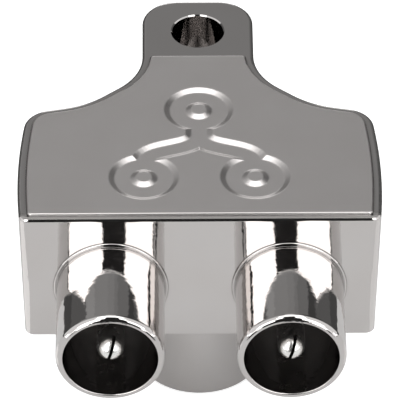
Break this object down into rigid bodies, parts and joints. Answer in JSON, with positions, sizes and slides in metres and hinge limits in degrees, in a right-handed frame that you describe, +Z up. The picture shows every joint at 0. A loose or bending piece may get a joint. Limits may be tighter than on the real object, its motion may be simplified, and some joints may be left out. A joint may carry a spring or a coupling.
{
  "type": "coaxial splitter",
  "caption": "Plated die-cast coaxial T splitter for television aerials: plugs at the front, a socket below, a satin cover plate and a tab with a hole for a ring.",
  "frame": {"origin": "on the socket's axis, in the plane of its open end, which the part stands on", "axes": "+X to the right seen from the plugs' side, +Y to the back along the plugs towards the tab, +Z up out of the cover plate"},
  "size_m": [0.032, 0.0407, 0.023],
  "materials": {
    "plated_casting": "bright nickel plated zinc die casting",
    "satin_cover": "satin nickel",
    "plug_metal": "bright nickel plated turned brass",
    "pin_metal": "bright nickel plated turned brass",
    "black_insulator": "moulded black plastic",
    "spring_metal": "nickel plated spring bronze",
    "board": "phenolic paper board",
    "ferrite": "sintered ferrite",
    "enamelled_wire": "enamelled copper",
    "resistor_paint": "lacquered film resistor",
    "capacitor_coat": "dipped ceramic disc",
    "solder": "soft solder"
  },
  "bodies": {
    "root": {"housing": "plated_casting", "top_cover": "satin_cover", "left_plug_shell": "plug_metal", "right_plug_shell": "plug_metal", "left_plug_insulator": "black_insulator", "right_plug_insulator": "black_insulator", "left_centre_pin": "pin_metal", "right_centre_pin": "pin_metal", "left_pin_solder": "solder", "right_pin_solder": "solder", "socket_sleeve": "plug_metal", "socket_spring_contact": "spring_metal", "socket_insulator": "black_insulator", "socket_centre_contact": "pin_metal", "socket_contact_solder": "solder", "circuit_board": "board", "ferrite_core": "ferrite", "input_winding": "enamelled_wire", "output_winding": "enamelled_wire", "isolation_resistor": "resistor_paint", "matching_capacitor": "capacitor_coat"}
  },
  "joints": []
}
